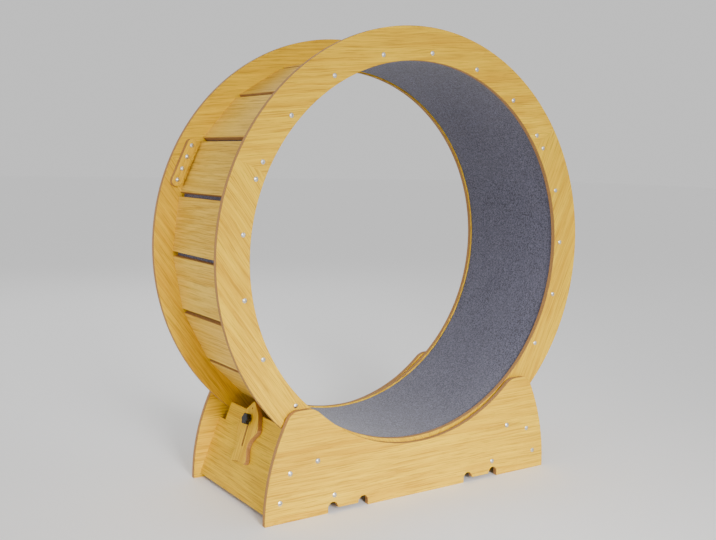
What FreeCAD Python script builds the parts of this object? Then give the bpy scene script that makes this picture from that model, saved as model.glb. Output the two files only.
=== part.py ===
import FreeCAD, Part
import math
import os
import Sketcher

# Cat exercise wheel: a plywood running wheel between two panels, carried on four grooved rollers.
# Frame: +Z up, the wheel turns about Y, the origin lies on the ground under the wheel's centre.
# Angles round the wheel count from +X towards +Z.  Front is the -Y side, left the -X side.

SEGMENTS = 3
SLATS_PER_SEGMENT = 7
FRONT, BACK = -1, 1
LEFT, RIGHT = -1, 1
SIDE_NAMES = {FRONT: "front", BACK: "back"}
END_NAMES = {LEFT: "left", RIGHT: "right"}

# Driving dimensions in millimetres and degrees.
DIMENSIONS = {
    # running wheel
    "rim_radius": 500,
    "rim_width": 74,
    "wheel_width": 338,
    "ground_clearance": 58,
    "seam_angle": 35.85,
    "board_thickness": 12,
    "edge_round": 1,
    "slat_gap": 7.1,
    "slat_setback": 18.5,
    "slat_edge_round": 1.5,
    "seam_screw_spacing": 37.6,
    "splice_setback": 29,
    "splice_length": 115,
    "splice_width": 24,
    "splice_inner_spacing": 29,
    "splice_outer_spacing": 84,
    "carpet_thickness": 9,
    "carpet_gap": 0.3,
    "carpet_seam": 1,
    # screws
    "screw_shank_radius": 2,
    "screw_play": 0.1,
    "screw_tip_length": 5,
    "screw_hole_room": 1,
    "screw_head_height": 2.2,
    "screw_head_edge": 0.5,
    "screw_recess_depth": 1.4,
    "screw_recess_width": 1.2,
    "screw_recess_length": 4.6,
    "rim_screw_head_radius": 5,
    "rim_screw_length": 40,
    "splice_screw_head_radius": 5,
    "splice_screw_length": 21,
    "base_screw_head_radius": 5.5,
    "base_screw_length": 45,
    # base panels
    "panel_gap": 6,
    "base_inset": 101,
    "panel_side_radius": 490,
    "panel_height": 240,
    "hollow_height": 125,
    "hump_width": 56.8,
    "hump_outer_radius": 30,
    "hump_inner_radius": 40,
    "recess_inset": 207.4,
    "recess_length": 104.4,
    "recess_height": 9,
    "recess_arch_radius": 12.5,
    "recess_arch_height": 11,
    "recess_corner_radius": 4,
    # end boards and cross rails
    "end_board_inset": 119.4,
    "end_board_tilt": 21.2,
    "end_board_lift": 9.5,
    "tongue_width": 288,
    "tongue_drop": 26.4,
    "shoulder_drop": 71.4,
    "end_screw_low": 48.7,
    "end_screw_high": 114.1,
    "rail_inset": 171,
    "rail_width": 30,
    "rail_height": 24,
    "rail_lift": 27,
    # rollers
    "axle_inset": 127,
    "roller_gap": 0.3,
    "groove_radius": 12.2,
    "groove_play": 0.5,
    "groove_flare": 1,
    "flange_radius": 19,
    "roller_width": 20,
    "bearing_radius": 9.5,
    "bearing_width": 6,
    "bearing_shoulder": 1.5,
    "bearing_seat_play": 0.02,
    "inner_ring_radius": 4.6,
    "outer_ring_wall": 1.6,
    "shield_gap": 0.3,
    "shield_thickness": 0.5,
    "bolt_radius": 3,
    "bolt_play": 0.05,
    "bolt_head_radius": 6,
    "bolt_head_height": 3.4,
    "bolt_head_edge": 0.8,
    "bolt_socket_width": 4,
    "bolt_socket_depth": 2,
    "spacer_thickness": 1,
    "spacer_radius": 4.4,
    "nut_width": 10,
    "nut_height": 5,
    "bolt_end": 2,
    # latch on the left end board
    "latch_offset": 15.8,
    "latch_lean": 5.7,
    "latch_gap": 8,
    "latch_play": 0.3,
    "latch_nose": 43.4,
    "latch_cheek_rise": 17,
    "latch_cheek_half_width": 32,
    "latch_flank_drop": 22.5,
    "latch_flank_half_width": 50,
    "latch_waist_drop": 54,
    "latch_waist_half_width": 18,
    "latch_tail_drop": 101,
    "latch_tail_half_width": 38.5,
    "latch_notch": 5,
    "latch_nose_round": 6,
    "latch_cheek_round": 40,
    "latch_flank_round": 12,
    "latch_waist_round": 25,
    "latch_tail_round": 8,
    "eye_rise": 26.5,
    "eye_radius": 2.2,
    "slot_width": 7,
    "slot_length": 59,
    "stud_radius": 3,
    "stud_play": 0.1,
    "stud_head_radius": 8,
    "stud_head_height": 3,
    "stud_head_edge": 1,
    "washer_radius": 9,
    "washer_thickness": 1.5,
    "knob_boss_radius": 7,
    "knob_boss_height": 1.2,
    "knob_radius": 13,
    "knob_height": 11,
    "knob_lobe_depth": 2,
    "knob_lobe_radius": 5.5,
    "knob_lobe_round": 1.5,
    "knob_top_round": 2,
    "knob_cap": 3,
}

KNOB_LOBES = 6
RECESS_STEP = 47

doc = FreeCAD.newDocument("cat_exercise_wheel")
Vector = FreeCAD.Vector
UP = Vector(0, 0, 1)
WHEEL_TURN = (0, -1, 0)


class Size:
    """A number worked out from the sheet, kept with the expression that works it out."""

    def __init__(self, value, text):
        self.value = value
        self.text = text

    @staticmethod
    def of(number):
        if isinstance(number, Size):
            return number
        return Size(float(number), repr(float(number)))

    def __add__(self, other):
        other = Size.of(other)
        return Size(self.value + other.value, f"({self.text} + {other.text})")

    def __radd__(self, other):
        return Size.of(other) + self

    def __sub__(self, other):
        other = Size.of(other)
        return Size(self.value - other.value, f"({self.text} - {other.text})")

    def __rsub__(self, other):
        return Size.of(other) - self

    def __mul__(self, other):
        other = Size.of(other)
        return Size(self.value * other.value, f"({self.text} * {other.text})")

    def __rmul__(self, other):
        return Size.of(other) * self

    def __truediv__(self, other):
        other = Size.of(other)
        return Size(self.value / other.value, f"({self.text} / {other.text})")

    def __neg__(self):
        return Size.of(0) - self


def root(size):
    return Size(math.sqrt(size.value), f"sqrt({size.text})")


def sine(angle):
    return Size(math.sin(math.radians(angle.value)), f"sin({angle.text})")


def cosine(angle):
    return Size(math.cos(math.radians(angle.value)), f"cos({angle.text})")


def leg(long_side, short_side):
    """The other short side of a right triangle."""
    return root(long_side * long_side - short_side * short_side)


class Sheet:
    """The driving dimensions as named cells, read here as attributes."""

    def __init__(self, table):
        cells = doc.addObject("Spreadsheet::Sheet", "sizes")
        for row, (name, value) in enumerate(table.items(), start=1):
            cells.set(f"A{row}", name)
            cells.set(f"B{row}", str(value))
            cells.setAlias(f"B{row}", name)
            setattr(self, name, Size(float(value), f"sizes.{name}"))


s = Sheet(DIMENSIONS)
doc.recompute()

# Sizes that several pieces share.
wheel_height = s.rim_radius + s.ground_clearance
ring_inner_radius = s.rim_radius - s.rim_width
ring_inner_face = s.wheel_width / 2 - s.board_thickness
slat_radius = ring_inner_radius + s.slat_setback
slat_inner_radius = slat_radius - s.board_thickness / 2
slat_outer_radius = slat_radius + s.board_thickness / 2
slat_pitch = Size.of(360 / (SEGMENTS * SLATS_PER_SEGMENT))
slat_width = (2 * slat_inner_radius * sine(slat_pitch / 2) - s.slat_gap) / cosine(slat_pitch / 2)
slat_corner_radius = root(slat_outer_radius * slat_outer_radius + slat_width * slat_width / 4)
segment_angle = Size.of(360 / SEGMENTS)
splice_radius = s.rim_radius - s.splice_setback
panel_inner_face = s.wheel_width / 2 + s.panel_gap
panel_outer_face = panel_inner_face + s.board_thickness
base_half_length = s.rim_radius - s.base_inset
end_board_foot = s.rim_radius - s.end_board_inset

# Roller axles: each roller's groove touches the rim, a running gap apart.
axle_x = base_half_length - s.axle_inset
axle_distance = s.rim_radius + s.roller_gap + s.groove_radius
axle_z = wheel_height - leg(axle_distance, axle_x)
groove_width = s.board_thickness + 2 * s.groove_play
roller_middle = (s.wheel_width - s.board_thickness) / 2

# Latch: its nose lies a set gap from the circle that the slats' corners sweep.
# Heights on an end board are measured along its tilted face from the ground line.
tilt = s.end_board_tilt
latch_inner_face = s.board_thickness / 2 + s.latch_play
latch_outer_face = latch_inner_face + s.board_thickness
centre_along = end_board_foot * sine(tilt) + wheel_height * cosine(tilt)
centre_off = wheel_height * sine(tilt) - end_board_foot * cosine(tilt) - latch_inner_face
nose_height = centre_along - leg(slat_corner_radius + s.latch_gap, centre_off)
stud_height = nose_height - s.latch_nose * cosine(s.latch_lean)
stud_hole_radius = s.stud_radius + s.stud_play
tongue_height = nose_height - s.tongue_drop
shoulder_height = nose_height - s.shoulder_drop

nodes = []


def bind(piece, name, size):
    """Set one property and tie it to the sheet."""
    size = Size.of(size)
    setattr(piece, name, size.value)
    piece.setExpression(name, size.text)


def place(piece, x=0, y=0, z=0, axis=(0, 0, 1), angle=0):
    """Put a piece at x, y, z, turned about an axis, all tied to the sheet."""
    spot = Vector(Size.of(x).value, Size.of(y).value, Size.of(z).value)
    turn = FreeCAD.Rotation(Vector(*axis), Size.of(angle).value)
    piece.Placement = FreeCAD.Placement(spot, turn)
    paths = {"Base.x": x, "Base.y": y, "Base.z": z, "Rotation.Angle": angle}
    for path, size in paths.items():
        if isinstance(size, Size):
            piece.setExpression(".Placement." + path, size.text)


def new_body(label):
    body = doc.addObject("PartDesign::Body", label)
    body.Label = label
    return body


def new_node(label):
    """A body that is a sub-part of its own."""
    body = new_body(label)
    nodes.append(body)
    return body


def datum(body, role):
    """One of a body's own origin planes or axes."""
    return next(feature for feature in body.Origin.OriginFeatures if feature.Role == role)


class Outline:
    """A sketch in a body's plane whose corners, centres and radii are tied to the sheet."""

    def __init__(self, body, name, plane, offset=0):
        self.sketch = body.newObject("Sketcher::SketchObject", name)
        self.sketch.AttachmentSupport = [(datum(body, plane), "")]
        self.sketch.MapMode = "FlatFace"
        if isinstance(offset, Size):
            lift = FreeCAD.Placement(Vector(0, 0, offset.value), FreeCAD.Rotation())
            self.sketch.AttachmentOffset = lift
            self.sketch.setExpression(".AttachmentOffset.Base.z", offset.text)

    def tie(self, kind, *where, size):
        """Add one measured constraint and tie it to the sheet."""
        size = Size.of(size)
        index = self.sketch.addConstraint(Sketcher.Constraint(kind, *where, size.value))
        self.sketch.setExpression(f"Constraints[{index}]", size.text)

    def pin(self, edge, end, x=None, y=None):
        """Fix a point's distances from the axes."""
        for kind, axis, size in (("DistanceX", -2, x), ("DistanceY", -1, y)):
            if size is None:
                continue
            if Size.of(size).value == 0:
                self.sketch.addConstraint(Sketcher.Constraint("PointOnObject", edge, end, axis))
            else:
                self.tie(kind, edge, end, size=size)

    def circle(self, x, y, radius):
        middle = Vector(Size.of(x).value, Size.of(y).value, 0)
        edge = self.sketch.addGeometry(Part.Circle(middle, UP, Size.of(radius).value))
        self.pin(edge, 3, x, y)
        self.tie("Radius", edge, size=radius)
        return self

    def slot(self, first, last, radius):
        """A round-ended bar from the first centre to the last, both (x, y)."""
        start, stop = (Vector(Size.of(x).value, Size.of(y).value, 0) for x, y in (first, last))
        width = Size.of(radius).value
        along = math.atan2(stop.y - start.y, stop.x - start.x)
        side = Vector(-math.sin(along), math.cos(along), 0) * width
        quarter = math.pi / 2
        base = self.sketch.GeometryCount
        self.sketch.addGeometry([
            Part.ArcOfCircle(Part.Circle(stop, UP, width), along - quarter, along + quarter),
            Part.LineSegment(stop + side, start + side),
            Part.ArcOfCircle(Part.Circle(start, UP, width), along + quarter, along + 3 * quarter),
            Part.LineSegment(start - side, stop - side),
        ])
        for edge in range(4):
            following = base + (edge + 1) % 4
            joint = Sketcher.Constraint("Tangent", base + edge, 2, following, 1)
            self.sketch.addConstraint(joint)
        self.sketch.addConstraint(Sketcher.Constraint("Equal", base, base + 2))
        self.tie("Radius", base, size=radius)
        self.pin(base, 3, *last)
        self.pin(base + 2, 3, *first)
        return self

    def closed(self, *steps):
        """A closed run of corners: each step is (x, y) reached by a line, or
        (x, y, radius, turn) reached by an arc, where turn is 1 to the left, -1 to the right,
        and 2 or -2 for the longer way round."""
        base = self.sketch.GeometryCount
        corners = [Vector(Size.of(step[0]).value, Size.of(step[1]).value, 0) for step in steps]
        count = len(steps)
        ends = []
        for index, step in enumerate(steps):
            start, stop = corners[index - 1], corners[index]
            if len(step) == 2:
                self.sketch.addGeometry(Part.LineSegment(start, stop))
                ends.append((1, 2))
                continue
            radius, turn = Size.of(step[2]).value, step[3]
            self.sketch.addGeometry(arc(start, stop, radius, turn))
            ends.append((1, 2) if turn > 0 else (2, 1))
        for index, step in enumerate(steps):
            edge, following = base + index, base + (index + 1) % count
            meet = Sketcher.Constraint(
                "Coincident", edge, ends[index][1], following, ends[(index + 1) % count][0])
            self.sketch.addConstraint(meet)
            self.pin(edge, ends[index][1], step[0], step[1])
            if len(step) == 4:
                self.tie("Radius", edge, size=step[2])
        return self

    def mirrored(self, *steps):
        """The same, from points on one side: the other side repeats them at -x."""
        other = [(-step[0], step[1]) for step in reversed(steps) if Size.of(step[0]).value != 0]
        return self.closed(*steps, *other)


def arc(start, stop, radius, turn):
    """The arc between two points; a left turn runs counterclockwise."""
    chord = stop - start
    half = chord.Length / 2
    rise = math.sqrt(max(radius * radius - half * half, 0))
    left = Vector(-chord.y, chord.x, 0).normalize()
    side = 1 if turn in (1, -2) else -1
    middle = start + chord * 0.5 + left * (rise * side)
    first, last = (start, stop) if turn > 0 else (stop, start)
    angles = [math.atan2(point.y - middle.y, point.x - middle.x) for point in (first, last)]
    if angles[1] <= angles[0]:
        angles[1] += 2 * math.pi
    return Part.ArcOfCircle(Part.Circle(middle, UP, radius), *angles)


def pad(body, outline, length, against=False, midplane=False):
    """Thicken an outline along its plane's normal, against it, or both ways alike."""
    feature = body.newObject("PartDesign::Pad", "pad")
    feature.Profile = outline.sketch
    feature.Midplane = midplane
    feature.Reversed = against
    bind(feature, "Length", length)
    return feature


def cut(body, outline, depth, against=False, midplane=False):
    """Remove an outline along its plane's normal, against it, or both ways alike."""
    doc.recompute()
    before = body.Shape.Volume
    feature = body.newObject("PartDesign::Pocket", "cut")
    feature.Profile = outline.sketch
    feature.Midplane = midplane
    feature.Reversed = not against
    bind(feature, "Length", depth)
    doc.recompute()
    assert feature.Shape.Volume < before, f"{body.Label}: a cut removes nothing"
    return feature


def mirror(body, feature, plane):
    """Repeat a feature on the other side of one of the body's planes."""
    copy = body.newObject("PartDesign::Mirrored", "mirrored")
    copy.Originals = [feature]
    copy.MirrorPlane = (datum(body, plane), [""])
    body.Tip = copy
    return copy


def revolve(body, outline, axis="V_Axis"):
    """Turn an outline all the way round one of its own axes."""
    feature = body.newObject("PartDesign::Revolution", "turned")
    feature.Profile = outline.sketch
    feature.ReferenceAxis = (outline.sketch, [axis])
    feature.Angle = 360
    return feature


def round_edges(body, radius, wanted):
    """Fillet the edges that a test accepts."""
    doc.recompute()
    base = body.Tip
    edges = enumerate(base.Shape.Edges, start=1)
    chosen = [f"Edge{index}" for index, edge in edges if wanted(edge)]
    assert chosen, f"{body.Label}: no edge to round"
    feature = body.newObject("PartDesign::Fillet", "rounded")
    feature.Base = (base, chosen)
    bind(feature, "Radius", radius)
    return feature


def group(label, *copies):
    """One node of separate solids: each copy is a piece and how it is placed."""
    links = []
    for piece, placing in copies:
        link = doc.addObject("App::Link", f"{label}_{len(links) + 1}")
        link.setLink(piece)
        place(link, **placing)
        links.append(link)
    node = doc.addObject("Part::Compound", label)
    node.Label = label
    node.Links = links
    nodes.append(node)
    return node


def near(first, second, reach=0.01):
    return abs(first - second) < reach


def middle_of(edge):
    return edge.valueAt((edge.FirstParameter + edge.LastParameter) / 2)


def edges_through(axis, *spots):
    """Accepts straight edges along an axis, through a spot given in the plane across it."""
    across = [index for index in range(3) if index != axis]
    values = [[Size.of(size).value for size in spot] for spot in spots]

    def test(edge):
        if len(edge.Vertexes) != 2:
            return False
        ends = [vertex.Point for vertex in edge.Vertexes]
        if not all(near(ends[0][index], ends[1][index]) for index in across):
            return False
        return any(near(ends[0][across[0]], x) and near(ends[0][across[1]], y) for x, y in values)

    return test


def upright_edge(edge):
    """Accepts straight edges along X."""
    if len(edge.Vertexes) != 2:
        return False
    run = edge.Vertexes[1].Point - edge.Vertexes[0].Point
    return near(run.y, 0) and near(run.z, 0)


def face_outline(axis, *levels):
    """Accepts the edges of the faces that lie across an axis at these levels, but no holes."""
    values = [Size.of(level).value for level in levels]

    def test(edge):
        if edge.isClosed():
            return False
        points = [edge.Vertexes[0].Point, edge.Vertexes[1].Point, middle_of(edge)]
        return any(all(near(point[axis], value) for point in points) for value in values)

    return test


# Running wheel.

screw_hole_radius = s.screw_shank_radius + s.screw_play
rim_pilot_depth = s.rim_screw_length - s.board_thickness + s.screw_hole_room
splice_pilot_depth = s.splice_screw_length - s.board_thickness + s.screw_hole_room
splice_offsets = (
    -s.splice_outer_spacing / 2,
    -s.splice_inner_spacing / 2,
    s.splice_inner_spacing / 2,
    s.splice_outer_spacing / 2,
)


def polar(angle, radius, across=0):
    """The spot at an angle and radius from the wheel's centre, shifted along the rim."""
    x = radius * cosine(angle) - across * sine(angle)
    z = radius * sine(angle) + across * cosine(angle)
    return x, z


def wrapped(angle):
    """An angle within one turn."""
    return angle - 360 if angle.value >= 360 else angle


def seam_turn(index):
    return wrapped(s.seam_angle + segment_angle * index)


def slat_turn(index):
    return wrapped(s.seam_angle + slat_pitch * index)


def slat_screw_shifts(index):
    """A slat across a seam has a screw in each segment, any other slat has one at its middle."""
    if index % SLATS_PER_SEGMENT == 0:
        return (-s.seam_screw_spacing / 2, s.seam_screw_spacing / 2)
    return (0,)


def ring_segment(side, index):
    """A third of a ring, butted to its neighbours; drawn with its middle at the top."""
    body = new_node(f"{SIDE_NAMES[side]}_ring_segment_{index + 1}")
    against = side == BACK
    first, last = Size.of(90) - segment_angle / 2, Size.of(90) + segment_angle / 2
    outline = Outline(body, "outline", "XZ_Plane")
    outline.closed(
        polar(first, s.rim_radius),
        (*polar(last, s.rim_radius), s.rim_radius, 1),
        polar(last, ring_inner_radius),
        (*polar(first, ring_inner_radius), ring_inner_radius, -1),
    )
    pad(body, outline, s.board_thickness, against)
    face = face_outline(1, 0, side * s.board_thickness)
    round_edges(body, s.edge_round, lambda edge: face(edge) and edge.Curve.TypeId == "Part::GeomCircle")
    through = Outline(body, "slat_screw_holes", "XZ_Plane")
    for slat_index in range(1, SLATS_PER_SEGMENT):
        spot = polar(first + slat_pitch * slat_index, slat_radius)
        through.circle(*spot, screw_hole_radius)
    through.circle(*polar(first, slat_radius, s.seam_screw_spacing / 2), screw_hole_radius)
    through.circle(*polar(last, slat_radius, -s.seam_screw_spacing / 2), screw_hole_radius)
    cut(body, through, s.board_thickness, against)
    blind = Outline(body, "splice_screw_holes", "XZ_Plane")
    for shift in splice_offsets[2:]:
        blind.circle(*polar(first, splice_radius, shift), screw_hole_radius)
        blind.circle(*polar(last, splice_radius, -shift), screw_hole_radius)
    cut(body, blind, splice_pilot_depth, against)
    place(body, y=side * ring_inner_face, z=wheel_height, axis=WHEEL_TURN, angle=wrapped(
        s.seam_angle + segment_angle * index + 360 - first))


def slat(index):
    """A flat board from ring to ring; drawn at angle zero."""
    body = new_node(f"slat_{index + 1:02d}")
    half_width = slat_width / 2
    section = Outline(body, "section", "XZ_Plane")
    corners = (
        (slat_inner_radius, -half_width),
        (slat_outer_radius, -half_width),
        (slat_outer_radius, half_width),
        (slat_inner_radius, half_width),
    )
    section.closed(*corners)
    pad(body, section, 2 * ring_inner_face, midplane=True)
    round_edges(body, s.slat_edge_round, edges_through(1, *corners))
    holes = Outline(body, "pilot_holes", "XZ_Plane", ring_inner_face)
    for shift in slat_screw_shifts(index):
        holes.circle(slat_radius, shift, screw_hole_radius)
    mirror(body, cut(body, holes, rim_pilot_depth, against=True), "XZ_Plane")
    place(body, z=wheel_height, axis=WHEEL_TURN, angle=slat_turn(index))


def splice_plate(side, index):
    """A round-ended bar across a seam, on the ring's inner face; drawn at angle zero."""
    body = new_node(f"splice_plate_{SIDE_NAMES[side]}_{index + 1}")
    against = side == FRONT
    run = (s.splice_length - s.splice_width) / 2
    outline = Outline(body, "outline", "XZ_Plane")
    outline.slot((splice_radius, -run), (splice_radius, run), s.splice_width / 2)
    pad(body, outline, s.board_thickness, against)
    round_edges(body, s.edge_round, face_outline(1, -side * s.board_thickness))
    holes = Outline(body, "screw_holes", "XZ_Plane")
    for shift in splice_offsets:
        holes.circle(splice_radius, shift, screw_hole_radius)
    cut(body, holes, s.board_thickness, against)
    place(body, y=side * ring_inner_face, z=wheel_height, axis=WHEEL_TURN, angle=seam_turn(index))


def carpet_runway():
    """A strip whose back lies flat on each slat and bends at the gaps, and whose running face
    is round; its ends are butted behind a seam."""
    body = new_node("carpet_runway")
    half_seam = s.carpet_seam / 2
    count = SEGMENTS * SLATS_PER_SEGMENT
    bends = [slat_pitch * index + slat_pitch / 2 for index in range(count)]
    outer = slat_inner_radius - s.carpet_gap
    inner = outer - s.carpet_thickness
    end = leg(inner, half_seam)
    outside = [polar(bend, outer / cosine(slat_pitch / 2)) for bend in bends]
    thirds = [(*polar(Size.of(turn), inner), inner, -1) for turn in (240, 120)]
    outline = Outline(body, "outline", "XZ_Plane")
    outline.closed(
        (outer, half_seam), *outside, (outer, -half_seam),
        (end, -half_seam), *thirds, (end, half_seam, inner, -1),
    )
    pad(body, outline, 2 * (ring_inner_face - s.carpet_gap), midplane=True)
    place(body, z=wheel_height, axis=WHEEL_TURN, angle=seam_turn(1))


for side in (FRONT, BACK):
    for index in range(SEGMENTS):
        ring_segment(side, index)
        splice_plate(side, index)
for index in range(SEGMENTS * SLATS_PER_SEGMENT):
    slat(index)
carpet_runway()


# Screws: drawn along Y with the head's underside at zero and the head towards -Y.

def screw(label, head_radius, length):
    """A wood screw with a low domed head and a cross recess."""
    body = new_body(label)
    height, edge = s.screw_head_height, s.screw_head_edge
    dome_rise = height - edge
    dome_radius = (head_radius * head_radius + dome_rise * dome_rise) / (2 * dome_rise)
    profile = Outline(body, "profile", "XY_Plane")
    profile.closed(
        (0, length),
        (0, -height),
        (head_radius, -edge, dome_radius, 1),
        (head_radius, 0),
        (s.screw_shank_radius, 0),
        (s.screw_shank_radius, length - s.screw_tip_length),
    )
    revolve(body, profile)
    arm, half = s.screw_recess_length / 2, s.screw_recess_width / 2
    recess = Outline(body, "recess", "XZ_Plane", height)
    recess.closed(
        (arm, -half), (arm, half), (half, half), (half, arm), (-half, arm), (-half, half),
        (-arm, half), (-arm, -half), (-half, -half), (-half, -arm), (half, -arm), (half, -half),
    )
    cut(body, recess, s.screw_recess_depth, against=True)
    return body


def screw_placing(x, y, z, outward, index):
    """Heads face outward, +1 or -1 along Y, and each cross stops at its own angle."""
    turn = math.radians(RECESS_STEP * index)
    if outward == BACK:
        return dict(x=x, y=y, z=z, axis=(math.cos(turn), 0, math.sin(turn)), angle=180)
    return dict(x=x, y=y, z=z, axis=(0, 1, 0), angle=RECESS_STEP * index % 90 + 1)


rim_screw = screw("rim_screw", s.rim_screw_head_radius, s.rim_screw_length)
splice_screw = screw("splice_screw", s.splice_screw_head_radius, s.splice_screw_length)
base_screw = screw("base_screw", s.base_screw_head_radius, s.base_screw_length)

rim_screws = []
splice_screws = []
for side in (FRONT, BACK):
    for index in range(SEGMENTS * SLATS_PER_SEGMENT):
        for shift in slat_screw_shifts(index):
            x, z = polar(slat_turn(index), slat_radius, shift)
            spot = (x, side * s.wheel_width / 2, wheel_height + z)
            rim_screws.append((rim_screw, screw_placing(*spot, side, len(rim_screws))))
    for index in range(SEGMENTS):
        for shift in splice_offsets:
            x, z = polar(seam_turn(index), splice_radius, shift)
            spot = (x, side * (ring_inner_face - s.board_thickness), wheel_height + z)
            splice_screws.append((splice_screw, screw_placing(*spot, -side, len(splice_screws))))
group("rim_screws", *rim_screws)
group("splice_screws", *splice_screws)


# Base.

bolt_hole_radius = s.bolt_radius + s.bolt_play
base_pilot_depth = s.base_screw_length - s.board_thickness + s.screw_hole_room
rail_x = base_half_length - s.rail_inset
rail_screw_height = s.rail_lift + s.rail_height / 2
recess_x = base_half_length - s.recess_inset


def end_board_spot(height):
    """Where a height on an end board's mid-plane lies, as distance from the middle and z."""
    return end_board_foot - height * sine(tilt), height * cosine(tilt)


end_screw_spots = [end_board_spot(height) for height in (s.end_screw_low, s.end_screw_high)]
rail_screw_spot = (rail_x, rail_screw_height)


def panel(side):
    """A side panel: curved ends, two humps, and a hollow between them that bares the wheel."""
    body = new_node(f"{SIDE_NAMES[side]}_panel")
    against = side == BACK
    top = s.panel_height
    corner_x = base_half_length - s.panel_side_radius + leg(s.panel_side_radius, top)
    hump_x = corner_x - s.hump_width
    hollow_depth = top - s.hollow_height
    hollow_radius = (hump_x * hump_x + hollow_depth * hollow_depth) / (2 * hollow_depth)
    outline = Outline(body, "outline", "XZ_Plane")
    outline.closed(
        (base_half_length, 0),
        (corner_x, top, s.panel_side_radius, 1),
        (hump_x, top),
        (-hump_x, top, hollow_radius, -1),
        (-corner_x, top),
        (-base_half_length, 0, s.panel_side_radius, 1),
    )
    pad(body, outline, s.board_thickness, against)
    round_edges(body, s.hump_outer_radius, edges_through(1, (corner_x, top), (-corner_x, top)))
    round_edges(body, s.hump_inner_radius, edges_through(1, (hump_x, top), (-hump_x, top)))

    # Foot recess: a low flat roof that swells to a round arch at each end.
    outer_end = recess_x + s.recess_length / 2
    inner_end = recess_x - s.recess_length / 2
    roof = s.recess_height
    arch_x = s.recess_arch_radius + leg(s.recess_arch_radius, s.recess_arch_height - roof)
    recess = Outline(body, "foot_recess", "XZ_Plane")
    recess.closed(
        (inner_end, -roof),
        (outer_end, -roof),
        (outer_end, s.recess_arch_height),
        (outer_end - arch_x, roof, s.recess_arch_radius, 2),
        (inner_end + arch_x, roof),
        (inner_end, s.recess_arch_height, s.recess_arch_radius, 2),
    )
    mirror(body, cut(body, recess, s.board_thickness, against), "YZ_Plane")
    arch_foot = (outer_end - arch_x, inner_end + arch_x)
    arch_feet = [(way * x, roof) for x in arch_foot for way in (LEFT, RIGHT)]
    round_edges(body, s.recess_corner_radius, edges_through(1, *arch_feet))
    round_edges(body, s.edge_round, face_outline(1, 0, side * s.board_thickness))

    holes = Outline(body, "holes", "XZ_Plane")
    holes.circle(axle_x, axle_z, bolt_hole_radius)
    for x, z in (*end_screw_spots, rail_screw_spot):
        holes.circle(x, z, screw_hole_radius)
    mirror(body, cut(body, holes, s.board_thickness, against), "YZ_Plane")
    place(body, y=side * panel_inner_face)


def end_board(end):
    """A board between the panels, leaning inwards, with a tongue that rises between the rings."""
    body = new_node(f"{END_NAMES[end]}_end_board")
    outline = Outline(body, "outline", "YZ_Plane")
    outline.mirrored(
        (panel_inner_face, s.end_board_lift),
        (panel_inner_face, shoulder_height),
        (s.tongue_width / 2, shoulder_height),
        (s.tongue_width / 2, tongue_height),
    )
    pad(body, outline, s.board_thickness, midplane=True)
    face = face_outline(0, -s.board_thickness / 2, s.board_thickness / 2)
    butt = panel_inner_face.value
    round_edges(body, s.edge_round, lambda edge: face(edge) and not near(abs(middle_of(edge).y), butt))
    holes = Outline(body, "pilot_holes", "XZ_Plane", panel_inner_face)
    for height in (s.end_screw_low, s.end_screw_high):
        holes.circle(0, height, screw_hole_radius)
    mirror(body, cut(body, holes, base_pilot_depth, against=True), "XZ_Plane")
    if end == LEFT:
        hole = Outline(body, "stud_hole", "YZ_Plane")
        hole.circle(s.latch_offset, stud_height, stud_hole_radius)
        cut(body, hole, 2 * s.board_thickness, midplane=True)
    place(body, x=end * end_board_foot, axis=(0, -end, 0), angle=tilt)


def cross_rail(end):
    """A square bar from panel to panel, just above the foot recesses."""
    body = new_node(f"{END_NAMES[end]}_cross_rail")
    half = s.rail_width / 2
    section = Outline(body, "section", "XZ_Plane")
    corners = (
        (-half, s.rail_lift),
        (half, s.rail_lift),
        (half, s.rail_lift + s.rail_height),
        (-half, s.rail_lift + s.rail_height),
    )
    section.closed(*corners)
    pad(body, section, 2 * panel_inner_face, midplane=True)
    round_edges(body, s.edge_round, edges_through(1, *corners))
    holes = Outline(body, "pilot_holes", "XZ_Plane", panel_inner_face)
    holes.circle(0, rail_screw_height, screw_hole_radius)
    mirror(body, cut(body, holes, base_pilot_depth, against=True), "XZ_Plane")
    place(body, x=end * rail_x)


for side in (FRONT, BACK):
    panel(side)
for end in (LEFT, RIGHT):
    end_board(end)
    cross_rail(end)

end_board_screws = []
cross_rail_screws = []
for side in (FRONT, BACK):
    for end in (LEFT, RIGHT):
        for x, z in end_screw_spots:
            placing = screw_placing(end * x, side * panel_outer_face, z, side, len(end_board_screws))
            end_board_screws.append((base_screw, placing))
        x, z = rail_screw_spot
        placing = screw_placing(end * x, side * panel_outer_face, z, side, len(cross_rail_screws) + 3)
        cross_rail_screws.append((base_screw, placing))
group("end_board_screws", *end_board_screws)
group("cross_rail_screws", *cross_rail_screws)


# Rollers and their axles: drawn along Y about the roller's middle, the panel on the +Y side.

half_roller = s.roller_width / 2
panel_distance = panel_inner_face - roller_middle
head_seat = panel_outer_face - roller_middle
nut_seat = half_roller + s.spacer_thickness


def axle_placing(side, end):
    angle = 180 if side == FRONT else 0
    return dict(x=end * axle_x, y=side * roller_middle, z=axle_z, angle=angle)


def hexagon(width):
    """Corners of a hexagon, from its width across flats."""
    corner, half = width / math.sqrt(3), width / 2
    return ((corner, 0), (corner / 2, half), (-corner / 2, half),
            (-corner, 0), (-corner / 2, -half), (corner / 2, -half))


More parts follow.
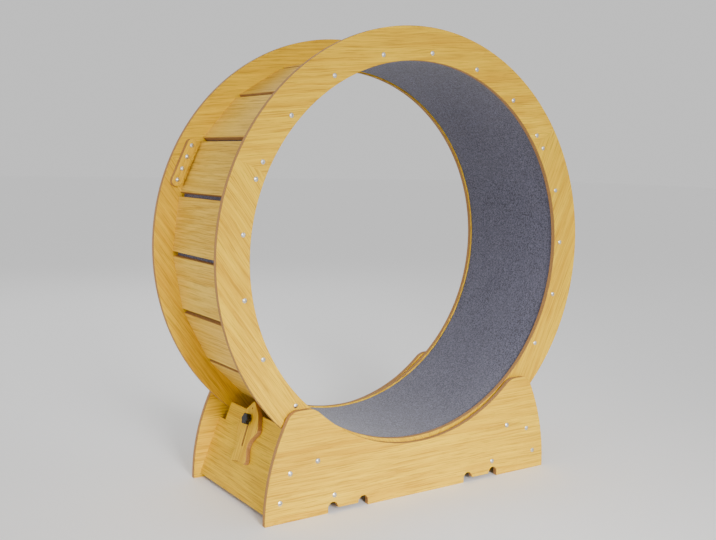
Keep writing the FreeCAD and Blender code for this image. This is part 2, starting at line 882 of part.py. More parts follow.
def roller(side, end):
    """A grooved roller with a bearing seat in each end."""
    body = new_node(f"roller_{SIDE_NAMES[side]}_{END_NAMES[end]}")
    seat = s.bearing_radius + s.bearing_seat_play
    shoulder = s.bearing_radius - s.bearing_shoulder
    half_groove = groove_width / 2
    half_mouth = half_groove + s.groove_flare
    profile = Outline(body, "profile", "XY_Plane")
    profile.closed(
        (shoulder, s.bearing_width - half_roller),
        (seat, s.bearing_width - half_roller),
        (seat, -half_roller),
        (s.flange_radius, -half_roller),
        (s.flange_radius, -half_mouth),
        (s.groove_radius, -half_groove),
        (s.groove_radius, half_groove),
        (s.flange_radius, half_mouth),
        (s.flange_radius, half_roller),
        (seat, half_roller),
        (seat, half_roller - s.bearing_width),
        (shoulder, half_roller - s.bearing_width),
    )
    revolve(body, profile)
    place(body, **axle_placing(side, end))


def bearing_outer_rings(side, end):
    """The rings of a roller's two bearings that turn with it, each with its two shields."""
    body = new_node(f"bearing_{SIDE_NAMES[side]}_{END_NAMES[end]}")
    outer = s.bearing_radius
    race = outer - s.outer_ring_wall
    bore = s.inner_ring_radius + s.shield_gap
    profile = Outline(body, "profile", "XY_Plane")
    for low in (-half_roller, half_roller - s.bearing_width):
        high = low + s.bearing_width
        profile.closed(
            (outer, low),
            (outer, high),
            (bore, high),
            (bore, high - s.shield_thickness),
            (race, high - s.shield_thickness),
            (race, low + s.shield_thickness),
            (bore, low + s.shield_thickness),
            (bore, low),
        )
    revolve(body, profile)
    place(body, **axle_placing(side, end))


def sleeves(label, radius, *spans):
    """Plain sleeves on the axle, each from one place along it to another."""
    body = new_body(label)
    profile = Outline(body, "profile", "XY_Plane")
    for low, high in spans:
        profile.closed((bolt_hole_radius, low), (radius, low), (radius, high), (bolt_hole_radius, high))
    revolve(body, profile)
    return body


def axle_bolt():
    """A button-head bolt from the panel's outer face to past the nut."""
    body = new_body("axle_bolt")
    tip = nut_seat + s.nut_height + s.bolt_end
    rise = s.bolt_head_height - s.bolt_head_edge
    dome_radius = (s.bolt_head_radius * s.bolt_head_radius + rise * rise) / (2 * rise)
    profile = Outline(body, "profile", "XY_Plane")
    profile.closed(
        (0, -tip),
        (s.bolt_radius, -tip),
        (s.bolt_radius, head_seat),
        (s.bolt_head_radius, head_seat),
        (s.bolt_head_radius, head_seat + s.bolt_head_edge),
        (0, head_seat + s.bolt_head_height, dome_radius, 1),
    )
    revolve(body, profile)
    socket = Outline(body, "socket", "XZ_Plane", -(head_seat + s.bolt_head_height))
    socket.closed(*hexagon(s.bolt_socket_width))
    cut(body, socket, s.bolt_socket_depth)
    return body


def axle_nut():
    body = new_body("axle_nut")
    outline = Outline(body, "outline", "XZ_Plane", nut_seat)
    outline.closed(*hexagon(s.nut_width))
    outline.circle(0, 0, bolt_hole_radius)
    pad(body, outline, s.nut_height)
    return body


inner_rings = sleeves(
    "inner_rings", s.inner_ring_radius,
    (-half_roller, s.bearing_width - half_roller),
    (half_roller - s.bearing_width, half_roller),
)
spacers = sleeves(
    "spacers", s.spacer_radius, (-nut_seat, -half_roller), (half_roller, panel_distance))
axle_pieces = {
    "axle_bolts": axle_bolt(),
    "axle_nuts": axle_nut(),
    "axle_washers": spacers,
    "bearing_inner_rings": inner_rings,
}
corners = [(side, end) for side in (FRONT, BACK) for end in (LEFT, RIGHT)]
for side, end in corners:
    roller(side, end)
    bearing_outer_rings(side, end)
for label, piece in axle_pieces.items():
    group(label, *[(piece, axle_placing(side, end)) for side, end in corners])


# Latch: drawn about its stud, where that crosses the left end board's mid-plane.
# -X faces out of the base, and the latch leans a little to one side on its single stud.

washer_face = latch_outer_face + s.latch_play
boss_face = washer_face + s.washer_thickness + s.latch_play
knob_face = boss_face + s.knob_boss_height
knob_end = knob_face + s.knob_height
bore_end = knob_end - s.knob_cap


def place_at_stud(piece):
    """Square to the left end board and turned by the latch's lean."""
    place(
        piece,
        x=stud_height * sine(tilt) - end_board_foot,
        y=s.latch_offset,
        z=stud_height * cosine(tilt),
    )
    lean = -s.latch_lean
    piece.Placement.Rotation = FreeCAD.Rotation(0, tilt.value, lean.value)
    piece.setExpression(".Placement.Rotation.Pitch", tilt.text)
    piece.setExpression(".Placement.Rotation.Roll", lean.text)


def lock_slider():
    """A fish-shaped plate that slides up the board until its nose meets the slats."""
    body = new_node("lock_slider")
    nose = (0, s.latch_nose)
    cheek = (s.latch_cheek_half_width, s.latch_cheek_rise)
    flank = (s.latch_flank_half_width, -s.latch_flank_drop)
    waist = (s.latch_waist_half_width, -s.latch_waist_drop)
    tail = (s.latch_tail_half_width, -s.latch_tail_drop)
    notch = (0, s.latch_notch - s.latch_tail_drop)
    outline = Outline(body, "outline", "YZ_Plane", -latch_inner_face)
    outline.mirrored(nose, cheek, flank, waist, tail, notch)
    pad(body, outline, s.board_thickness, against=True)
    rounds = (
        (nose, s.latch_nose_round),
        (cheek, s.latch_cheek_round),
        (flank, s.latch_flank_round),
        (waist, s.latch_waist_round),
        (tail, s.latch_tail_round),
    )
    for (y, z), radius in rounds:
        round_edges(body, radius, edges_through(0, (y, z), (-y, z)))
    round_edges(body, s.edge_round, face_outline(0, -latch_inner_face, -latch_outer_face))
    openings = Outline(body, "slot_and_eye", "YZ_Plane", -latch_inner_face)
    openings.slot((0, -s.slot_length), (0, 0), s.slot_width / 2)
    openings.circle(0, s.eye_rise, s.eye_radius)
    cut(body, openings, s.board_thickness, against=True)
    place_at_stud(body)


def lock_stud():
    """A round-headed bolt from the board's inner face through latch and washer into the knob."""
    body = new_node("lock_stud")
    inside = s.board_thickness / 2
    tip = s.latch_play - bore_end
    rise = s.stud_head_height - s.stud_head_edge
    dome_radius = (s.stud_head_radius * s.stud_head_radius + rise * rise) / (2 * rise)
    profile = Outline(body, "profile", "XY_Plane")
    profile.closed(
        (tip, 0),
        (inside + s.stud_head_height, 0),
        (inside + s.stud_head_edge, s.stud_head_radius, dome_radius, 1),
        (inside, s.stud_head_radius),
        (inside, s.stud_radius),
        (tip, s.stud_radius),
    )
    revolve(body, profile, "H_Axis")
    place_at_stud(body)


def lock_washer():
    body = new_node("lock_washer")
    outline = Outline(body, "outline", "YZ_Plane", -washer_face)
    outline.circle(0, 0, s.washer_radius)
    outline.circle(0, 0, stud_hole_radius)
    pad(body, outline, s.washer_thickness, against=True)
    place_at_stud(body)


def lock_knob():
    """A clamping knob with rounded lobes on a low boss, and a blind bore for the stud."""
    body = new_node("lock_knob")
    outline = Outline(body, "outline", "YZ_Plane", -knob_face)
    outline.circle(0, 0, s.knob_radius)
    pad(body, outline, s.knob_height, against=True)
    hollow = Outline(body, "hollow", "YZ_Plane", -knob_face)
    hollow.circle(0, s.knob_radius + s.knob_lobe_radius - s.knob_lobe_depth, s.knob_lobe_radius)
    first = cut(body, hollow, s.knob_height, against=True)
    lobes = body.newObject("PartDesign::PolarPattern", "lobes")
    lobes.Originals = [first]
    lobes.Axis = (datum(body, "X_Axis"), [""])
    lobes.Angle = 360
    lobes.Occurrences = KNOB_LOBES
    body.Tip = lobes
    round_edges(body, s.knob_lobe_round, upright_edge)
    round_edges(body, s.knob_top_round, face_outline(0, -knob_end))
    boss = Outline(body, "boss", "YZ_Plane", -knob_face)
    boss.circle(0, 0, s.knob_boss_radius)
    pad(body, boss, s.knob_boss_height)
    bore = Outline(body, "bore", "YZ_Plane", -boss_face)
    bore.circle(0, 0, stud_hole_radius)
    cut(body, bore, bore_end - boss_face, against=True)
    place_at_stud(body)


lock_slider()
lock_stud()
lock_washer()
lock_knob()

doc.recompute()
for thing in doc.Objects:
    assert not {"Invalid", "Error"} & set(thing.State), f"{thing.Label} failed: {thing.State}"
for node in nodes:
    assert not node.Shape.isNull() and node.Shape.isValid(), f"{node.Label} has no valid shape"
os.makedirs("parts", exist_ok=True)
for node in nodes:
    node.Shape.exportStep(f"parts/{node.Label}.step")
print(f"{len(nodes)} nodes, {sum(len(node.Shape.Solids) for node in nodes)} solids")
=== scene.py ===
"""The looks of a plywood cat exercise wheel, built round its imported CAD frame."""

import math
import random

import bmesh
import bpy
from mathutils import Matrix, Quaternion, Vector


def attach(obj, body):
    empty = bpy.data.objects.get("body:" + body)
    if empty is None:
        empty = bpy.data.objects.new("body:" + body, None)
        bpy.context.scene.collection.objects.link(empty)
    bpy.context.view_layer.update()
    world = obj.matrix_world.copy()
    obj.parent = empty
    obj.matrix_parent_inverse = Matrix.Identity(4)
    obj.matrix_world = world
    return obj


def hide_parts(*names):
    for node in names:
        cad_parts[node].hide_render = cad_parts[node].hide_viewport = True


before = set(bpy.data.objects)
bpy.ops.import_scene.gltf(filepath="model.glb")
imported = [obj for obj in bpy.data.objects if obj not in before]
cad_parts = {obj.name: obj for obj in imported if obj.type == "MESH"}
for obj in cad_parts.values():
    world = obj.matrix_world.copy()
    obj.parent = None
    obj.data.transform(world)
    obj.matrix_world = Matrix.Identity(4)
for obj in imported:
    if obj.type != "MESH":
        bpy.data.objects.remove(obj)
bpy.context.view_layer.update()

MM = 0.001
X_WAY = Vector((1, 0, 0))
Y_WAY = Vector((0, 1, 0))
Z_WAY = Vector((0, 0, 1))
SIDES = {"front": -1, "back": 1}
ENDS = {"left": -1, "right": 1}

# The wheel and the base as the frame has them.
WHEEL_CENTRE = Vector((0, 0, 0.558))
SEGMENTS = 3
SLATS = 21
SEAM_ANGLE = math.radians(35.85)
SLAT_PITCH = 2 * math.pi / SLATS
BOARD = 12 * MM
RING_INNER_FACE = 157 * MM
SLAT_RADIUS = 444.5 * MM
PANEL_INNER_FACE = 175 * MM
END_BOARD_FOOT = 380.6 * MM
END_BOARD_TILT = math.radians(21.2)
RAIL_X = 228 * MM
RAIL_MIDDLE_HEIGHT = 39 * MM
LATCH_PLAY = 0.3 * MM
LATCH_LEAN = math.radians(5.7)
LATCH_OFFSET = 15.8 * MM
STUD_HEIGHT = 180.17 * MM
ROLLER_AXLE_X = 272 * MM
ROLLER_AXLE_Z = 123.64 * MM

# The carpet: its size as in the frame, its mesh and its surface.
CARPET_GAP = 0.3 * MM
CARPET_THICKNESS = 9 * MM
CARPET_SEAM = 1 * MM
CARPET_STEPS = 16
CARPET_ROWS = 48
CARPET_EDGE_ROUND = 1.2 * MM
BEVEL_ABOVE = math.radians(50)
SMOOTH_BELOW = math.radians(38)
PILE_SCALE = 14 * MM
PILE_HEIGHT = 0.45 * MM


def srgb(red, green, blue):
    """A colour read off a swatch in 0 to 255, as the shader wants it."""
    levels = []
    for level in (red, green, blue):
        share = level / 255
        levels.append(share / 12.92 if share < 0.04045 else ((share + 0.055) / 1.055) ** 2.4)
    return (*levels, 1)


# Shader maths.

class Value:
    """A socket of a finish; arithmetic on it adds the Math nodes."""

    def __init__(self, finish, socket):
        self.finish = finish
        self.socket = socket

    def maths(self, operation, *others):
        return self.finish.maths(operation, self, *others)

    def __add__(self, other):
        return self.maths("ADD", other)

    def __sub__(self, other):
        return self.maths("SUBTRACT", other)

    def __mul__(self, other):
        return self.maths("MULTIPLY", other)

    def __truediv__(self, other):
        return self.maths("DIVIDE", other)

    def __rsub__(self, other):
        return self.finish.maths("SUBTRACT", other, self)

    def __abs__(self):
        return self.maths("ABSOLUTE")

    __radd__ = __add__

    def smooth(self, low, high):
        """0 below low and 1 above high, or the other way round if low is the higher."""
        settings = {"interpolation_type": "SMOOTHSTEP"}
        if low < high:
            return self.finish.add("MapRange", settings, {0: self, 1: low, 2: high})
        return 1 - self.finish.add("MapRange", settings, {0: self, 1: high, 2: low})


class Finish:
    """A material under construction, with its shader and the node maths around it."""

    def __init__(self, name):
        self.material = bpy.data.materials.new(name)
        self.material.use_nodes = True
        self.tree = self.material.node_tree
        self.tree.nodes.clear()

    def add(self, kind, settings=None, sockets=None, output=0):
        """Adds a node: settings first, then its sockets' values or links; returns one output."""
        node = self.tree.nodes.new("ShaderNode" + kind)
        for name, value in (settings or {}).items():
            setattr(node, name, value)
        for name, value in (sockets or {}).items():
            if isinstance(value, Value):
                self.tree.links.new(value.socket, node.inputs[name])
            else:
                node.inputs[name].default_value = value
        return Value(self, node.outputs[output]) if node.outputs else None

    def place(self):
        return self.add("TexCoord", output="Object")

    def facing(self):
        return self.add("TexCoord", output="Normal")

    def maths(self, operation, *values):
        return self.add("Math", {"operation": operation}, dict(enumerate(values)))

    def vector(self, x, y, z):
        return self.add("CombineXYZ", sockets={0: x, 1: y, 2: z})

    def along(self, vector, way):
        """How far a vector reaches in a direction."""
        sockets = {0: vector, 1: tuple(way)}
        return self.add("VectorMath", {"operation": "DOT_PRODUCT"}, sockets, output="Value")

    def length(self, vector):
        return self.add("VectorMath", {"operation": "LENGTH"}, {0: vector}, output="Value")

    def noise(self, vector, scale=1, detail=2, roughness=0.5, distortion=0):
        sockets = {"Vector": vector, "Scale": scale, "Detail": detail,
                   "Roughness": roughness, "Distortion": distortion}
        return self.add("TexNoise", sockets=sockets)

    def mix(self, factor, first, second):
        """Two colours mixed; they are the sockets A and B of a colour mix."""
        sockets = {0: factor, 6: first, 7: second}
        return self.add("Mix", {"data_type": "RGBA"}, sockets, output=2)

    def bump(self, height, strength, distance):
        return self.add("Bump", sockets={
            "Height": height, "Strength": strength, "Distance": distance})

    def done(self, **sockets):
        """Closes the material with its main shader; underscores stand for spaces."""
        named = {name.replace("_", " "): value for name, value in sockets.items()}
        shader = self.add("BsdfPrincipled", sockets=named)
        self.add("OutputMaterial", sockets={"Surface": shader})
        return self.material


def dress(node, material):
    """Gives a CAD node its finish."""
    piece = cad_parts[node]
    piece.data.materials.clear()
    piece.data.materials.append(material)


# Wood.

class Board:
    """How a board lies: its mid-plane's origin and its grain, width and thickness directions."""

    def __init__(self, origin, grain, facing):
        self.origin = Vector(origin)
        self.grain = Vector(grain).normalized()
        self.facing = Vector(facing).normalized()
        self.across = self.facing.cross(self.grain)


def in_board(finish, board):
    """A point's place in the board: along the grain, across it, and through the thickness."""
    sockets = {0: finish.place(), 1: tuple(board.origin)}
    spot = finish.add("VectorMath", {"operation": "SUBTRACT"}, sockets)
    return [finish.along(spot, way) for way in (board.grain, board.across, board.facing)]


FACE_LIGHT = srgb(241, 198, 26)
FACE_DARK = srgb(202, 149, 6)
SLAT_LIGHT = srgb(238, 198, 76)
SLAT_DARK = srgb(202, 153, 32)
PORE = srgb(150, 98, 10)
EDGE_LONG = srgb(200, 152, 86)
EDGE_END = srgb(138, 94, 54)
GLUE = srgb(78, 50, 30)
PLIES = 9
LOT_STEP = 7.31
FLAME_LINES = 90
GRAIN_WANDER = 12 * MM


def plywood(name, board, lot, light=FACE_LIGHT, dark=FACE_DARK):
    """Lacquered birch ply: a rotary-cut figure with fine pores, and the plies on its edges.
    Boards of different lots are cut from different places of the veneer."""
    finish = Finish(name)
    u, v, w = in_board(finish, board)

    def figure(along, across, detail=2, roughness=0.5):
        """Noise over the veneer; the less a direction is scaled, the longer it is drawn."""
        veneer = finish.vector(along, across, lot * LOT_STEP)
        return finish.noise(veneer, 1, detail, roughness)

    # Rotary-cut figure: contour lines of a noise that is stretched along the grain.
    flame = finish.maths("SINE", figure(u * 0.7, v * 7) * FLAME_LINES)
    flame = (flame * 0.5 + 0.5).smooth(0.1, 0.95)
    # Streaks, dashes and short pores, all long along the grain.
    bent = v + figure(u * 5, v * 9) * GRAIN_WANDER
    streak = figure(u * 2.2, bent * 210, 3, 0.75)
    dash = figure(u * 11, bent * 430, 2, 0.6).smooth(0.5, 0.68)
    pores = figure(u * 38, v * 700, 2, 0.6).smooth(0.56, 0.72)
    cloud = figure(u * 2.3, v * 5, 3, 0.55)

    tone = flame * 0.22 + streak.smooth(0.34, 0.66) * 0.5 + cloud.smooth(0.25, 0.75) * 0.28
    face = finish.mix(tone, light, dark)
    face = finish.mix(dash * 0.5, face, PORE)
    face = finish.mix(pores * 0.34, face, PORE)

    # Edges: long-grain and end-grain plies in turn, with dark glue lines.
    level = (w / BOARD + 0.5) * PLIES + figure(u * 9, v * 9) * 0.5
    turn = finish.maths("PINGPONG", level, 1.0)
    glue = abs(turn - 0.5).smooth(0.09, 0.02)
    ply = turn.smooth(0.42, 0.58)
    speck = finish.noise(finish.vector(u * 420, v * 420, w * 1800), 1, 2, 0.7)
    edge = finish.mix(ply, EDGE_LONG, EDGE_END)
    edge = finish.mix(glue * 0.55, edge, GLUE)
    edge = finish.mix(speck.smooth(0.35, 0.75) * 0.4, edge, EDGE_END)

    turned = abs(finish.along(finish.facing(), board.facing))
    on_edge = turned.smooth(0.8, 0.55)
    colour = finish.mix(on_edge, face, edge)

    face_relief = streak * 0.5 - pores * 0.6 + flame * 0.15
    edge_relief = speck * 0.7 - glue * 0.8 - ply * 0.5
    height = face_relief * (1 - on_edge) + edge_relief * on_edge
    roughness = 0.5 + streak * 0.14 + on_edge * 0.15
    return finish.done(
        Base_Color=colour, Roughness=roughness, Specular_IOR_Level=0.2,
        Coat_Weight=0.05, Coat_Roughness=0.35,
        Normal=finish.bump(height, 0.35, 0.25 * MM))


def pine(name, board, lot):
    """Plain sawn rail wood, with growth rings that run through it."""
    finish = Finish(name)
    u, v, w = in_board(finish, board)
    # The rings' centre lies outside the rail, above it and to one side.
    heart = finish.vector(u * 0.04, v + 21 * MM, w - 34 * MM)
    wander = finish.noise(finish.vector(u * 3, v * 30, w * 30 + lot))
    ring = finish.maths("FRACT", finish.length(heart) * 330 + wander * 1.6)
    late = ring.smooth(0.35, 0.95)
    fibre = finish.noise(finish.vector(u * 12, v * 900, w * 900), 1, 2, 0.6)
    colour = finish.mix(late * 0.75, srgb(222, 184, 126), srgb(168, 118, 66))
    colour = finish.mix(fibre.smooth(0.4, 0.7) * 0.2, colour, srgb(150, 100, 58))
    return finish.done(
        Base_Color=colour, Roughness=0.55 + fibre * 0.15,
        Normal=finish.bump(fibre - late * 0.4, 0.4, 0.2 * MM))


# Each kind of board has its own run of lots.
RING_LOT = 11
RING_SIDE_STEP = 5
SPLICE_LOT_STEP = 40
SLAT_LOT = 60
PANEL_LOT = 90
END_BOARD_LOT = 95
LATCH_LOT = 120
RAIL_LOT = 3

RING_VARIETY = 0.03
SPLICE_VARIETY = 0.05
SLAT_VARIETY = 0.06
tones = random.Random(5)


def varied(reach, *colours):
    """One board's own shades of its colours."""
    shades = []
    for red, green, blue, _ in colours:
        shade = 1 + tones.uniform(-reach, reach)
        warmth = tones.uniform(-reach, reach) / 2
        less_green, less_blue = 1 - warmth / 2, 1 - warmth * 2
        shades.append((red * shade, green * shade * less_green, blue * shade * less_blue, 1))
    return shades


def polar(angle):
    """The directions outwards and onwards at an angle of the wheel."""
    cosine, sine = math.cos(angle), math.sin(angle)
    return Vector((cosine, 0, sine)), Vector((-sine, 0, cosine))


def wheel_boards():
    """Ring segments with the grain along their chords, splice plates over the seams, slats."""
    for side, way in SIDES.items():
        ring_plane = WHEEL_CENTRE + Y_WAY * way * (RING_INNER_FACE + BOARD / 2)
        plate_plane = WHEEL_CENTRE + Y_WAY * way * (RING_INNER_FACE - BOARD / 2)
        for index in range(SEGMENTS):
            seam = SEAM_ANGLE + 2 * math.pi * index / SEGMENTS
            _, tangent = polar(seam)
            _, chord = polar(seam + math.pi / SEGMENTS)
            lot = RING_LOT + index + RING_SIDE_STEP * way
            dress(f"{side}_ring_segment_{index + 1}", plywood(
                f"birch_ply_{side}_ring_{index + 1}", Board(ring_plane, chord, Y_WAY * way),
                lot, *varied(RING_VARIETY, FACE_LIGHT, FACE_DARK)))
            dress(f"splice_plate_{side}_{index + 1}", plywood(
                f"birch_ply_{side}_splice_{index + 1}", Board(plate_plane, tangent, Y_WAY * way),
                lot + SPLICE_LOT_STEP, *varied(SPLICE_VARIETY, FACE_LIGHT, FACE_DARK)))
    for index in range(SLATS):
        out, _ = polar(SEAM_ANGLE + SLAT_PITCH * index)
        dress(f"slat_{index + 1:02d}", plywood(
            f"birch_ply_slat_{index + 1:02d}",
            Board(WHEEL_CENTRE + out * SLAT_RADIUS, Y_WAY, out),
            SLAT_LOT + index, *varied(SLAT_VARIETY, SLAT_LIGHT, SLAT_DARK)))


def base_boards():
    """Panels with the grain along the base, end boards and rails across it, and the latch."""
    for side, way in SIDES.items():
        panel = Board(Y_WAY * way * (PANEL_INNER_FACE + BOARD / 2), X_WAY, Y_WAY * way)
        dress(f"{side}_panel", plywood(f"birch_ply_{side}_panel", panel, PANEL_LOT + way))

    for end, way in ENDS.items():
        outward = X_WAY * way * math.cos(END_BOARD_TILT) + Z_WAY * math.sin(END_BOARD_TILT)
        board = Board(X_WAY * way * END_BOARD_FOOT, Y_WAY, outward)
        dress(f"{end}_end_board", plywood(f"birch_ply_{end}_end", board, END_BOARD_LOT + way))
        rail = Board(X_WAY * way * RAIL_X + Z_WAY * RAIL_MIDDLE_HEIGHT, Y_WAY, Z_WAY)
        dress(f"{end}_cross_rail", pine(f"sawn_{end}_rail", rail, RAIL_LOT + way))

    # The latch lies on the left end board, and leans on it.
    out = Z_WAY * math.sin(END_BOARD_TILT) - X_WAY * math.cos(END_BOARD_TILT)
    up_board = X_WAY * math.sin(END_BOARD_TILT) + Z_WAY * math.cos(END_BOARD_TILT)
    stud = up_board * STUD_HEIGHT + Y_WAY * LATCH_OFFSET - X_WAY * END_BOARD_FOOT
    up_latch = up_board * math.cos(LATCH_LEAN) + Y_WAY * math.sin(LATCH_LEAN)
    latch = Board(stud + out * (BOARD + LATCH_PLAY), up_latch, out)
    dress("lock_slider", plywood("birch_ply_latch", latch, LATCH_LOT))


# Metal and plastic.

def plated(name, colour, roughness, mottled):
    """Zinc-plated steel: a dull plating with blotches and a fine mottle."""
    finish = Finish(name)
    place = finish.place()
    mottle = finish.noise(place, 900, 3, 0.6)
    blotch = finish.noise(place, 160)
    shade = finish.mix(blotch.smooth(0.3, 0.7) * 0.5, colour, srgb(168, 166, 160))
    return finish.done(
        Base_Color=shade, Metallic=1.0, Roughness=roughness + mottle * mottled,
        Normal=finish.bump(mottle, 0.15, 0.05 * MM))


def turned_steel(name, colour, roughness):
    """Bright steel with the fine rings that a lathe leaves about the nearest roller axle."""
    finish = Finish(name)
    place = finish.place()
    sideways = abs(finish.along(place, X_WAY)) - ROLLER_AXLE_X
    upwards = finish.along(place, Z_WAY) - ROLLER_AXLE_Z
    reach = finish.length(finish.vector(sideways, 0, upwards))
    lathe = finish.noise(finish.vector(reach * 5200, 0, 0), 1, 2, 0.6)
    mottle = finish.noise(place, 1400, 3, 0.6)
    return finish.done(
        Base_Color=colour, Metallic=1.0, Roughness=roughness + mottle * 0.12 + lathe * 0.1,
        Normal=finish.bump(lathe * 0.7 + mottle * 0.3, 0.2, 0.04 * MM))


def moulded(name, colour, roughness):
    """Moulded plastic with a fine spark-eroded grain."""
    finish = Finish(name)
    place = finish.place()
    grain = finish.noise(place, 2600)
    haze = finish.noise(place, 70)
    lighter = tuple(min(1, level * 1.9 + 0.004) for level in colour[:3]) + (1,)
    return finish.done(
        Base_Color=finish.mix(haze.smooth(0.3, 0.8) * 0.5, colour, lighter),
        Roughness=roughness + grain * 0.12,
        Normal=finish.bump(grain, 0.25, 0.08 * MM))


def hardware():
    """Screws, bolts, bearings, rollers and the knob."""
    rollers = [f"{side}_{end}" for side in SIDES for end in ENDS]
    finishes = (
        (plated("zinc_screw", srgb(214, 214, 210), 0.24, 0.2),
         ["rim_screws", "splice_screws", "end_board_screws", "cross_rail_screws"]),
        (plated("plated_bolt", srgb(205, 205, 204), 0.24, 0.18),
         ["axle_bolts", "axle_nuts", "axle_washers", "lock_stud", "lock_washer"]),
        (turned_steel("bearing_steel", srgb(190, 192, 194), 0.2),
         ["bearing_inner_rings"] + [f"bearing_{roller}" for roller in rollers]),
        (moulded("roller_nylon", srgb(40, 40, 42), 0.42),
         [f"roller_{roller}" for roller in rollers]),
        (moulded("knob_black", srgb(5, 5, 6), 0.28), ["lock_knob"]),
    )
    for finish, nodes in finishes:
        for node in nodes:
            dress(node, finish)


# Carpet.

def felt():
    """Needle felt: blue-grey fibres with paler and darker specks."""
    finish = Finish("needle_felt")
    place = finish.place()
    fibre = finish.noise(place, 620, 3, 0.7, 0.6)
    speck = finish.noise(place, 250, 2, 0.8)
    clump = finish.noise(place, 60, 3, 0.6)
    wear = finish.noise(place, 7)
    colour = finish.mix(speck.smooth(0.38, 0.62), srgb(40, 40, 52), srgb(102, 100, 122))
    colour = finish.mix(fibre.smooth(0.54, 0.7) * 0.6, colour, srgb(146, 144, 168))
    colour = finish.mix(clump.smooth(0.3, 0.75) * 0.3, colour, srgb(58, 58, 76))
    colour = finish.mix(wear.smooth(0.3, 0.7) * 0.14, colour, srgb(112, 110, 128))
    height = fibre * 0.6 + speck * 0.8 + clump * 0.5
    return finish.done(
        Base_Color=colour, Roughness=0.95, Specular_IOR_Level=0.15,
        Sheen_Weight=0.25, Sheen_Roughness=0.6,
        Normal=finish.bump(height, 0.9, 1.2 * MM))


def activate(piece):
    bpy.ops.object.select_all(action="DESELECT")
    bpy.context.view_layer.objects.active = piece
    piece.select_set(True)


def settle(piece):
    """Puts a piece's place into its mesh and smooths it."""
    activate(piece)
    bpy.ops.object.transform_apply(location=True, rotation=True, scale=True)
    bpy.ops.object.shade_smooth_by_angle(angle=SMOOTH_BELOW)


def choose_edges(accepts):
    """In edit mode, selects only the edges that a test accepts."""
    bpy.ops.mesh.select_mode(type="EDGE")
    bpy.ops.mesh.select_all(action="DESELECT")
    mesh = bmesh.from_edit_mesh(bpy.context.object.data)
    for edge in mesh.edges:
        if accepts(edge):
            edge.select_set(True)
    mesh.select_flush_mode()
    bmesh.update_edit_mesh(bpy.context.object.data)


def modify(piece, kind, **settings):
    modifier = piece.modifiers.new(kind.lower(), kind)
    for name, value in settings.items():
        setattr(modifier, name, value)


def apply_modifiers(piece):
    activate(piece)
    for name in [modifier.name for modifier in piece.modifiers]:
        bpy.ops.object.modifier_apply(modifier=name)


def running_face(half_width, radius, first_bend):
    """The carpet's inner face as a round band with fine rows across."""
    bpy.ops.mesh.primitive_circle_add(
        vertices=SLATS * CARPET_STEPS, radius=radius,
        location=WHEEL_CENTRE - Y_WAY * half_width,
        rotation=(math.pi / 2, math.pi / 2 - first_bend, 0))
    band = bpy.context.object
    band.name = "carpet"
    settle(band)

    def crosswise(edge):
        run = edge.verts[1].co - edge.verts[0].co
        return abs(run.y) > half_width

    bpy.ops.object.mode_set(mode="EDIT")
    bpy.ops.mesh.select_all(action="SELECT")
    bpy.ops.mesh.extrude_region_move(TRANSFORM_OT_translate={"value": (0, 2 * half_width, 0)})
    choose_edges(crosswise)
    bpy.ops.mesh.subdivide(number_cuts=CARPET_ROWS - 1)
    bpy.ops.mesh.select_all(action="SELECT")
    bpy.ops.mesh.normals_make_consistent(inside=False)
    bpy.ops.object.mode_set(mode="OBJECT")
    first = band.data.polygons[0]
    if first.normal.dot(Vector(first.center) - WHEEL_CENTRE) > 0:
        band.data.flip_normals()
    return band


def carpet_runway():
    """One strip of felt: its back lies flat on each slat and bends at the gaps, and its running
    face is round. Its seam isn't cut here, and only counts in its flat length."""
    half_width = RING_INNER_FACE - CARPET_GAP
    back = SLAT_RADIUS - BOARD / 2 - CARPET_GAP
    face = back - CARPET_THICKNESS
    at_bend = back / math.cos(SLAT_PITCH / 2) - face
    first_bend = SEAM_ANGLE + SLAT_PITCH / 2
    strip = running_face(half_width, face, first_bend)

    thickness = strip.vertex_groups.new(name="thickness")
    for vertex in strip.data.vertices:
        spot = vertex.co - WHEEL_CENTRE
        turn = (math.atan2(spot.z, spot.x) - first_bend) % SLAT_PITCH - SLAT_PITCH / 2
        share = (back / math.cos(turn) - face) / at_bend
        thickness.add([vertex.index], share, "REPLACE")
    pile = bpy.data.textures.new("pile", "CLOUDS")
    pile.noise_scale = PILE_SCALE
    modify(strip, "SOLIDIFY", thickness=at_bend, offset=-1, vertex_group="thickness")
    modify(strip, "BEVEL", width=CARPET_EDGE_ROUND, segments=2, angle_limit=BEVEL_ABOVE)
    modify(strip, "DISPLACE", texture=pile, strength=PILE_HEIGHT, mid_level=0.5,
           texture_coords="LOCAL")
    apply_modifiers(strip)
    strip.vertex_groups.clear()
    settle(strip)
    strip.data.materials.append(felt())
    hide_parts("carpet_runway")
    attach(strip, "wheel")
    length = 2 * math.pi * (face + CARPET_THICKNESS / 2) - CARPET_SEAM


# Stage, light and camera.

FLOOR_SIZE = 60
WORLD_STRENGTH = 0.8


def stage_floor():
    """A plain pale floor."""
    bpy.ops.mesh.primitive_plane_add(size=FLOOR_SIZE, location=(0, 0, 0))
    floor = bpy.context.object
    floor.name = "floor"
    finish = Finish("pale_floor")
    cloud = finish.noise(finish.place(), 0.7)
    floor.data.materials.append(finish.done(
        Base_Color=finish.mix(cloud * 0.1, srgb(250, 250, 250), srgb(244, 244, 246)),
        Roughness=0.7))


def in_scene(name, data, place, backwards):
    """Puts a lamp or camera in the scene, with its back to a direction."""
    holder = bpy.data.objects.new(name, data)
    bpy.context.scene.collection.objects.link(holder)
    holder.location = place
    holder.rotation_mode = "QUATERNION"
    holder.rotation_quaternion = (-backwards).to_track_quat("-Z", "Y")
    return holder


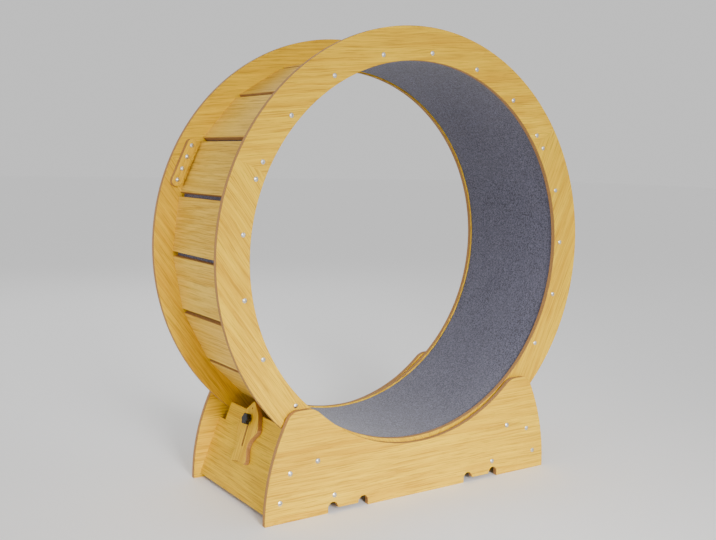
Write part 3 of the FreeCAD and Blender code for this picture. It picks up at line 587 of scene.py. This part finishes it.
def light():
    """A white world and four square lamps, two with a narrow beam and two that spread wide."""
    world = bpy.data.worlds.new("studio")
    world.use_nodes = True
    background = world.node_tree.nodes["Background"]
    background.inputs["Color"].default_value = (1, 1, 1, 1)
    background.inputs["Strength"].default_value = WORLD_STRENGTH
    bpy.context.scene.world = world
    # Each lamp's name, place, target, size in metres, power in watts and spread in degrees.
    lamps = (
        ("key", (-0.8, -4.2, 1.4), (-0.02, 0, -0.14), 1.4, 14.4, 34),
        ("left", (-2.8, -0.4, 0.6), (-0.4, 0, 0.55), 0.8, 1.1, 36),
        ("fill", (3.0, -2.4, 2.0), (0, 0, 0.5), 2.8, 12, 180),
        ("back", (0.5, 3.0, 2.6), (0, 0, 0.5), 2.4, 20, 180),
    )
    for name, place, target, size, power, spread in lamps:
        lamp = bpy.data.lights.new(name, "AREA")
        lamp.shape = "SQUARE"
        lamp.size = size
        lamp.energy = power
        lamp.spread = math.radians(spread)
        holder = in_scene(name, lamp, place, Vector(place) - Vector(target))
        holder.visible_camera = False


# From the fit of the wheel's circles and the base's corners to the photograph.
CAMERA_PLACE = Vector((-1.28502, -1.85600, 0.76435))
CAMERA_AZIMUTH = math.radians(-34.9247)
CAMERA_DROP = math.radians(7.8976)
CAMERA_ROLL = math.radians(1.2654)
PHOTO_WIDTH, PHOTO_HEIGHT = 716, 540
FOCAL_PIXELS = 940.37
OPTICAL_AXIS = (379.84, 291.25)
SENSOR_WIDTH = 36


def camera():
    """The photograph's viewpoint."""
    lens = bpy.data.cameras.new("viewpoint")
    lens.sensor_width = SENSOR_WIDTH
    lens.lens = FOCAL_PIXELS / PHOTO_WIDTH * SENSOR_WIDTH
    lens.shift_x = (PHOTO_WIDTH / 2 - OPTICAL_AXIS[0]) / PHOTO_WIDTH
    lens.shift_y = (OPTICAL_AXIS[1] - PHOTO_HEIGHT / 2) / PHOTO_WIDTH
    backwards = Vector((
        math.sin(CAMERA_AZIMUTH) * math.cos(CAMERA_DROP),
        -math.cos(CAMERA_AZIMUTH) * math.cos(CAMERA_DROP),
        math.sin(CAMERA_DROP)))
    holder = in_scene("viewpoint", lens, CAMERA_PLACE, backwards)
    holder.rotation_quaternion = holder.rotation_quaternion @ Quaternion(Z_WAY, CAMERA_ROLL)
    bpy.context.scene.camera = holder


wheel_boards()
base_boards()
hardware()
carpet_runway()
stage_floor()
light()
camera()
